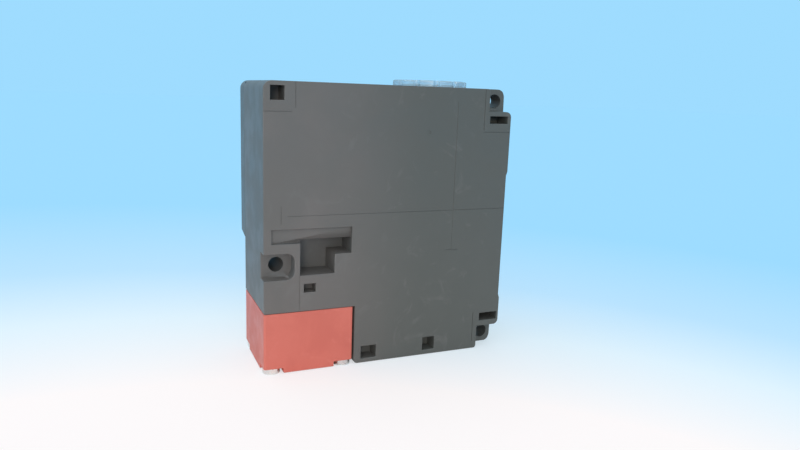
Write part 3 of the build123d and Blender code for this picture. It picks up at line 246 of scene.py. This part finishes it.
def mixed(tree, amount, first, second):
    """Mixes two colours; each is a colour or a socket."""
    node = tree.nodes.new("ShaderNodeMix")
    node.data_type = "RGBA"
    tree.links.new(amount, node.inputs["Factor"])
    for socket, colour in ((node.inputs["A"], first), (node.inputs["B"], second)):
        if isinstance(colour, tuple):
            socket.default_value = (*colour, 1.0)
        else:
            tree.links.new(colour, socket)
    return node.outputs["Result"]


def bump(tree, shader, height, strength, distance):
    """A bump of a real height in metres."""
    node = tree.nodes.new("ShaderNodeBump")
    node.inputs["Strength"].default_value = strength
    node.inputs["Distance"].default_value = distance
    tree.links.new(height, node.inputs["Height"])
    tree.links.new(node.outputs["Normal"], shader.inputs["Normal"])


def across(tree, where, axis, low, high):
    """How far a point lies between two places along an axis, in metres, as a value from 0 to 1."""
    parts = tree.nodes.new("ShaderNodeSeparateXYZ")
    tree.links.new(where, parts.inputs["Vector"])
    return spread(tree, parts.outputs[axis], low, high)


# %% [markdown]
# One function makes every moulded plastic here, from the casing to the small inner parts. What
# changes is the pair of colours, how slow the mottling is, and how rough the mould was.

# %% Moulded plastic
DRIFT = (-0.034, 0.016)
PATCH_BAND = (0.40, 0.62)
STREAK_BAND = (0.56, 0.72)
STREAK_MOST = 0.45
GLOSS_BAND = (0.35, 0.65)
SMEARS_TO_PATCHES = 1.7
WEAR_TO_PATCHES = 3.0
GRAIN_SCALE = 3200.0


def moulded(name, base, second, mottling, roughness, grain=0.00002, smudge=None, far=None):
    """A moulded plastic: two close colours in slow patches, uneven gloss and a fine grain.

    The colour can drift to another one across the part, from left to right, and carry streaks.
    """
    material, tree, shader, where = new_material(name, base, roughness)
    patches = spread(tree, noise(tree, where, mottling, 4.0, 0.55, 0.4), *PATCH_BAND)
    colour = mixed(tree, patches, base, second)
    if far:
        colour = mixed(tree, across(tree, where, "X", *DRIFT), colour, far)
    if smudge:
        smears = noise(tree, where, mottling * SMEARS_TO_PATCHES, 5.0, 0.6, 2.2)
        colour = mixed(tree, spread(tree, smears, *STREAK_BAND, 0.0, STREAK_MOST), colour, smudge)
    tree.links.new(colour, shader.inputs["Base Color"])
    wear = noise(tree, where, mottling * WEAR_TO_PATCHES, 4.0)
    gloss = spread(tree, wear, *GLOSS_BAND, roughness - 0.05, roughness + 0.07)
    tree.links.new(gloss, shader.inputs["Roughness"])
    bump(tree, shader, noise(tree, where, GRAIN_SCALE, 2.0), 0.5, grain)
    return material


casing_grey = moulded("casing_grey", (0.124, 0.113, 0.107), (0.112, 0.106, 0.100), 38.0, 0.52,
                      smudge=(0.132, 0.128, 0.124), far=(0.079, 0.082, 0.075))
lid_grey = moulded("lid_grey", (0.106, 0.108, 0.108), (0.092, 0.098, 0.097), 46.0, 0.50)
head_red = moulded("head_red", (0.565, 0.137, 0.102), (0.53, 0.122, 0.090), 60.0, 0.46,
                   smudge=(0.595, 0.160, 0.128))
print("casing materials ready")

# %% [markdown]
# Metals are told apart by how they were made. A turned pin or a drawn wire has fine lines that
# stretch its gloss, zinc plating has a soft cloudy brightness, and brass is warm and a little dull.
# One function does them all: cloudy colour, uneven gloss and a grain that can be stretched.

# %% Metals
CLOUD_SCALE = 420.0
CLOUD_BAND = (0.38, 0.64)
LINE_SCALE = 2600.0
LINE_BAND = (0.3, 0.7)
ALONG_X = (0.05, 1.0, 1.0)
ALONG_Z = (1.0, 1.0, 0.05)


def metal(name, base, second, roughness, stretch=(1.0, 1.0, 1.0), grain=0.000004):
    """A metal with cloudy colour and a grain stretched along the way it was worked."""
    material, tree, shader, where = new_material(name, base, roughness, 1.0)
    mapping = tree.nodes.new("ShaderNodeMapping")
    mapping.inputs["Scale"].default_value = stretch
    tree.links.new(where, mapping.inputs["Vector"])
    worked = mapping.outputs["Vector"]
    clouds = spread(tree, noise(tree, where, CLOUD_SCALE), *CLOUD_BAND)
    tree.links.new(mixed(tree, clouds, base, second), shader.inputs["Base Color"])
    lines = noise(tree, worked, LINE_SCALE)
    gloss = spread(tree, lines, *LINE_BAND, roughness - 0.06, roughness + 0.10)
    tree.links.new(gloss, shader.inputs["Roughness"])
    bump(tree, shader, lines, 0.4, grain)
    return material


zinc = metal("zinc_bright", (0.86, 0.85, 0.80), (0.74, 0.73, 0.70), 0.22)
turned_steel = metal("turned_steel", (0.62, 0.62, 0.63), (0.52, 0.52, 0.53), 0.28, ALONG_Z)
drawn_steel = metal("drawn_steel", (0.50, 0.51, 0.53), (0.38, 0.39, 0.41), 0.30, ALONG_X)
plated_steel = metal("plated_steel", (0.72, 0.70, 0.60), (0.62, 0.61, 0.55), 0.34)
brass = metal("contact_brass", (0.80, 0.60, 0.28), (0.70, 0.50, 0.22), 0.30)
print("metals ready")

# %% [markdown]
# The inner pieces hardly show, yet each gets its own finish, for the day someone takes the covers
# off. The clear pieces let light through: the two light guides are acrylic, and the plug in the
# cable entry is soft, milky polythene, with the backdrop's blue painted into its colour as a painted
# reflection.

# %% Inner plastics, rubber and clear pieces
inner_black = moulded("inner_black", (0.030, 0.031, 0.032), (0.022, 0.023, 0.024), 80.0, 0.36)
switch_grey = moulded("switch_grey", (0.085, 0.085, 0.088), (0.070, 0.071, 0.073), 80.0, 0.45)
cam_black = moulded("cam_black", (0.050, 0.050, 0.052), (0.036, 0.036, 0.038), 90.0, 0.34)
bobbin_white = moulded("bobbin_white", (0.80, 0.79, 0.74), (0.74, 0.73, 0.68), 70.0, 0.45)
tape_yellow = moulded("tape_yellow", (0.78, 0.55, 0.08), (0.68, 0.46, 0.06), 120.0, 0.30)
board_green = moulded("board_green", (0.02, 0.17, 0.07), (0.015, 0.13, 0.055), 160.0, 0.25)
seal_black = moulded("seal_black", (0.022, 0.022, 0.023), (0.030, 0.030, 0.030), 140.0, 0.62,
                     grain=0.00003)


ACRYLIC_IOR = 1.49
FLOW_SCALE = 260.0


def clear_plastic(name, base, roughness, transmission):
    """A see-through or milky plastic with faint flow marks."""
    material, tree, shader, where = new_material(name, base, roughness)
    shader.inputs["Transmission Weight"].default_value = transmission
    shader.inputs["IOR"].default_value = ACRYLIC_IOR
    flow = noise(tree, where, FLOW_SCALE, distortion=1.2)
    gloss = spread(tree, flow, *GLOSS_BAND, roughness - 0.04, roughness + 0.06)
    tree.links.new(gloss, shader.inputs["Roughness"])
    return material


led_clear = clear_plastic("led_clear", (0.92, 0.93, 0.92), 0.08, 0.9)
lens_clear = clear_plastic("lens_clear", (0.86, 0.90, 0.86), 0.10, 0.8)
# The plug's pale blue base colour is a painted reflection of the blue backdrop on milky polythene.
plug_milky_painted_blue = clear_plastic("plug_milky_painted_blue", (0.64, 0.86, 1.0), 0.20, 0.60)
print("inner materials ready")

# %% [markdown]
# The housing comes first, because the camera sees little else. Its copy gets a small round on every
# outer edge and pocket mouth. Then we cut what the mould left on the mounting face: thin witness
# lines where the steel inserts met, the outline of the raised pad at the upper left corner, and the
# rings of the ejector pins.

# %% The housing's edges
EDGE_R = 0.28
SKIN_MM = 0.03
RIGHT_SLICE_MM = 0.6


def on_outside(middle):
    """True on the housing's back, left, foot and top planes and in a thin slice on its right."""
    if middle.y < SKIN_MM or middle.x < SKIN_MM or middle.z < SKIN_MM:
        return True
    return middle.x > HOUSING_HIGH.x - RIGHT_SLICE_MM or middle.z > HOUSING_HIGH.z - SKIN_MM


housing = copy_of("housing")
print("softened", soften(housing, EDGE_R, on_outside), "edges")

# %% [markdown]
# A witness line is about a quarter of a millimetre wide and a little over half as deep. They are a
# short list of runs, each from one X and Z on the face to another, and each run becomes a bar.

# %% Witness lines and pads
LINE_W = 0.26
LINE_D = 0.16
PROUD = 0.5
SEAM_Z = 56.4
SEAM_X = 71.5
RUNS = [
    ((8.5, SEAM_Z), (94.0, SEAM_Z)),
    ((SEAM_X, 96.4), (SEAM_X, 41.1)),
    ((SEAM_X - 2.6, 41.1), (SEAM_X + 2.6, 41.1)),
    ((6.0, 54.0), (6.0, 59.8)),
    ((82.8, 86.5), (82.8, 101.0)),
    ((82.8, 85.6), (94.0, 85.6)),
    ((82.8, 15.0), (82.8, 3.0)),
    ((12.5, 35.0), (12.5, 22.8)),
    ((10.8, 93.1), (10.8, 101.2)),
    ((0.2, 91.6), (9.3, 91.6)),
]


def add_run(cutter, start, end):
    """One straight line on the mounting face."""
    half = LINE_W / 2
    x0, x1 = sorted((start[0], end[0]))
    z0, z1 = sorted((start[1], end[1]))
    add_bar(cutter, x0 - half, x1 + half, -PROUD, LINE_D, z0 - half, z1 + half)


lines = bmesh.new()
for start, end in RUNS:
    add_run(lines, start, end)
housing = cut_away(housing, lines)
print("cut", len(RUNS), "witness lines")

# %% [markdown]
# Ejector pins push the moulding out of its tool and leave shallow rings. A ring is a four-point
# profile spun once round. A gate mark is the small dimple where the plastic came in. Each mark is
# given by its X, its Z and its radius.

# %% Ejector marks
MARKS = [
    (14.5, 95.1, 1.3),
    (14.3, 61.7, 1.5),
    (38.6, 17.6, 1.5),
]
RING_W = 0.22
RING_D = 0.07
DIMPLE = (60.1, 85.3, 0.8)
DIMPLE_D = 0.18
rings = bmesh.new()
for x, z, radius in MARKS:
    add_ring(rings, x, z, radius, RING_W, -PROUD, RING_D)
add_disc(rings, *DIMPLE, -PROUD, DIMPLE_D)
housing = cut_away(housing, rings)
finish_piece(housing, "housing_shell", "case", casing_grey, ["housing"])

# %% [markdown]
# The two lids of the front, the head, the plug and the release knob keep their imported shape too.
# Their edges are rounded to suit each: the thin lid and the small pieces take the smallest radius.

# %% Lids, head, plug and knob
def softened(node, name, body, material, radius):
    """A copy of a node with rounded edges, in place of the node."""
    bm = copy_of(node)
    print("softened", soften(bm, radius), "edges of", node)
    finish_piece(bm, name, body, material, [node])


softened("wiring_cover", "wiring_lid", "case", lid_grey, 0.25)
softened("mechanism_cover", "mechanism_lid", "case", lid_grey, 0.15)
softened("head_block", "red_head", "case", head_red, 0.22)
softened("conduit_plug", "entry_plug", "case", plug_milky_painted_blue, 0.15)
softened("release_knob", "release_knob_turned", "release", inner_black, 0.12)

# %% [markdown]
# What stays as packed gets its finish in its material slots. A table pairs each node with the
# material that the real piece has.

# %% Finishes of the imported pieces
FINISHES = {
    zinc: ["head_screws", "mechanism_cover_screws", "wiring_cover_screws", "switch_screws",
           "terminal_screws", "solenoid_screws"],
    turned_steel: ["plunger_rod", "cam_shaft", "armature", "solenoid_core"],
    drawn_steel: ["plunger_spring", "lock_spring", "contact_springs", "armature_clip",
                  "release_clip", "push_pin"],
    plated_steel: ["solenoid_frame", "lock_fork"],
    brass: ["fixed_contacts", "contact_bridges", "monitor_bridge", "monitor_contacts",
            "terminal_clamps"],
    inner_black: ["terminal_block", "plunger_bush", "monitor_slider"],
    switch_grey: ["switch_case", "switch_lid", "monitor_case", "monitor_lid"],
    cam_black: ["rotary_cam"],
    bobbin_white: ["coil_bobbin", "contact_carrier"],
    tape_yellow: ["coil_winding"],
    board_green: ["indicator_board"],
    seal_black: ["head_seal", "plunger_seal", "wiring_cover_gasket", "release_seal",
                 "conduit_seal"],
    led_clear: ["indicator_leds"],
    lens_clear: ["indicator_lenses"],
}
for finish, names in FINISHES.items():
    for node in names:
        mesh = cad_nodes[node].data
        mesh.materials.clear()
        mesh.materials.append(finish)
print("finished", sum(len(names) for names in FINISHES.values()), "packed pieces")

# %% [markdown]
# The set is a bright sweep: white underfoot, pale blue above. The world gives the colour, by how
# high a ray looks, and keeps to soft even light for lighting the part. The sweep leans a little, so
# that the white climbs higher on the left, as it does in the photo.

# %% The world
SKY_BLUE = (0.345, 0.715, 1.0)
MID_BLUE = (0.50, 0.78, 1.0)
PALE_BLUE = (0.76, 0.91, 1.0)
WHITE = (1.0, 0.965, 0.965)
LEAN = (0.037, -0.016, 1.0)
RAMP_START = -0.50
RAMP_LENGTH = 0.50
RAMP_MIDDLE = 0.5
STOPS = [(-0.42, WHITE), (-0.335, PALE_BLUE), (-0.27, MID_BLUE), (-0.18, SKY_BLUE)]
AMBIENT_TINT = (0.84, 0.92, 1.0)
AMBIENT_STRENGTH = 0.54


def height_ramp(tree, direction):
    """The set's colour from how far a unit direction rises along LEAN, the sweep's own upright."""
    rise = tree.nodes.new("ShaderNodeVectorMath")
    rise.operation = "DOT_PRODUCT"
    rise.inputs[1].default_value = LEAN
    tree.links.new(direction, rise.inputs[0])
    along = tree.nodes.new("ShaderNodeMapRange")
    along.inputs["From Min"].default_value = RAMP_START
    along.inputs["From Max"].default_value = RAMP_START + RAMP_LENGTH
    tree.links.new(rise.outputs["Value"], along.inputs["Value"])
    ramp = tree.nodes.new("ShaderNodeValToRGB")
    tree.links.new(along.outputs["Result"], ramp.inputs["Fac"])
    stops = ramp.color_ramp.elements
    while len(stops) < len(STOPS):
        stops.new(RAMP_MIDDLE)
    for stop, (sine, colour) in zip(stops, STOPS):
        stop.position = (sine - RAMP_START) / RAMP_LENGTH
        stop.color = (*colour, 1.0)
    return ramp.outputs["Color"]


def arithmetic(tree, operation, first, second):
    """One sum of two values; the second is a number or a socket."""
    node = tree.nodes.new("ShaderNodeMath")
    node.operation = operation
    tree.links.new(first, node.inputs[0])
    if isinstance(second, float):
        node.inputs[1].default_value = second
    else:
        tree.links.new(second, node.inputs[1])
    return node.outputs["Value"]


def coloured(tree, kind, colour):
    """A shader node of a kind whose colour comes from a socket."""
    node = tree.nodes.new(kind)
    tree.links.new(colour, node.inputs["Color"])
    return node.outputs[0]


def blend_to_output(tree, amount, first, second, output_kind):
    """Mixes two shaders and sends them to the output of a world or a material."""
    blend = tree.nodes.new("ShaderNodeMixShader")
    tree.links.new(amount, blend.inputs["Fac"])
    tree.links.new(first, blend.inputs[1])
    tree.links.new(second, blend.inputs[2])
    end = tree.nodes.new(output_kind)
    tree.links.new(blend.outputs["Shader"], end.inputs["Surface"])


world = bpy.data.worlds.new("set")
bpy.context.scene.world = world
world.use_nodes = True
sky = world.node_tree
sky.nodes.clear()
direction = sky.nodes.new("ShaderNodeTexCoord").outputs["Generated"]
shown = coloured(sky, "ShaderNodeBackground", height_ramp(sky, direction))
lighting = sky.nodes.new("ShaderNodeBackground")
lighting.inputs["Color"].default_value = (*AMBIENT_TINT, 1.0)
lighting.inputs["Strength"].default_value = AMBIENT_STRENGTH
rays = sky.nodes.new("ShaderNodeLightPath").outputs
seen = arithmetic(sky, "MAXIMUM", rays["Is Camera Ray"], rays["Is Glossy Ray"])
seen = arithmetic(sky, "MAXIMUM", seen, rays["Is Transmission Ray"])
blend_to_output(sky, seen, lighting.outputs["Background"], shown, "ShaderNodeOutputWorld")
print("world ready")

# %% [markdown]
# The floor carries the same colours, worked out from the spot where the photographer stood: seen
# from there it melts into the sweep. It is a diffuse sheet that also glows to the camera, so it
# stays white and still keeps a part of the soft shadow.

# %% The floor
STAND = Vector((-0.093628, -0.239024, 0.099384))
FLOOR_HALF = 6.0
GLOW_SHARE = 0.6
floor_bm = bmesh.new()
bmesh.ops.create_grid(floor_bm, x_segments=1, y_segments=1, size=FLOOR_HALF)
floor_mesh = bpy.data.meshes.new("floor")
floor_bm.to_mesh(floor_mesh)
floor_bm.free()
floor = bpy.data.objects.new("floor", floor_mesh)
bpy.context.scene.collection.objects.link(floor)

sweep = bpy.data.materials.new("sweep")
sweep.use_nodes = True
tree = sweep.node_tree
tree.nodes.clear()
where = tree.nodes.new("ShaderNodeTexCoord").outputs["Object"]
away = tree.nodes.new("ShaderNodeVectorMath")
away.operation = "SUBTRACT"
away.inputs[1].default_value = STAND
tree.links.new(where, away.inputs[0])
unit = tree.nodes.new("ShaderNodeVectorMath")
unit.operation = "NORMALIZE"
tree.links.new(away.outputs["Vector"], unit.inputs[0])
colour = height_ramp(tree, unit.outputs["Vector"])
paint = coloured(tree, "ShaderNodeBsdfDiffuse", colour)
glow = coloured(tree, "ShaderNodeEmission", colour)
rays = tree.nodes.new("ShaderNodeLightPath").outputs
share = arithmetic(tree, "MULTIPLY", rays["Is Camera Ray"], GLOW_SHARE)
blend_to_output(tree, share, paint, glow, "ShaderNodeOutputMaterial")
floor.data.materials.append(sweep)
print("floor ready")

# %% [markdown]
# Four lamps shape the part gently: a wide sun from behind the photographer's left shoulder, one
# from above, a warm one along the view that reaches into the pockets, and a blue one from the left
# that stands for the backdrop's light on the casing's side.

# %% Lamps
def add_sun(name, strength, spread_angle, towards, tint):
    """A sun lamp that shines along a direction; the wider its spread, the softer its shadow."""
    lamp = bpy.data.lights.new(name, "SUN")
    lamp.energy = strength
    lamp.angle = math.radians(spread_angle)
    lamp.color = tint
    made = bpy.data.objects.new(name, lamp)
    made.rotation_mode = "QUATERNION"
    made.rotation_quaternion = Vector(towards).to_track_quat("-Z", "Y")
    bpy.context.scene.collection.objects.link(made)


add_sun("key", 0.9, 50.0, (0.35, 0.85, -0.75), (1.0, 0.98, 0.95))
add_sun("top", 0.9, 60.0, (0.2, -0.1, -1.0), (1.0, 0.95, 0.92))
add_sun("view", 0.8, 15.0, (0.39, 0.90, -0.20), (1.0, 0.93, 0.84))
add_sun("side", 0.5, 40.0, (1.0, 0.0, -0.1), (0.30, 0.78, 1.0))

# %% [markdown]
# The camera stands a little above the part and to its left, with a slightly wide lens, close enough
# that the lines of the casing run together. Its place and angles were worked out from the casing's
# own corners.

# %% The camera
SENSOR_MM = 36.0
LENS_MM = 30.05
NEAREST = 0.01
AIM_DEGREES = (78.743, -2.068, -23.345)
camera = bpy.data.objects.new("camera", bpy.data.cameras.new("camera"))
camera.data.sensor_width = SENSOR_MM
camera.data.lens = LENS_MM
camera.data.clip_start = NEAREST
camera.location = STAND
camera.rotation_euler = Euler([math.radians(angle) for angle in AIM_DEGREES], "XYZ")
bpy.context.scene.collection.objects.link(camera)
bpy.context.scene.camera = camera
bpy.context.scene.view_settings.view_transform = "Standard"
print("camera", [round(value, 3) for value in camera.location])
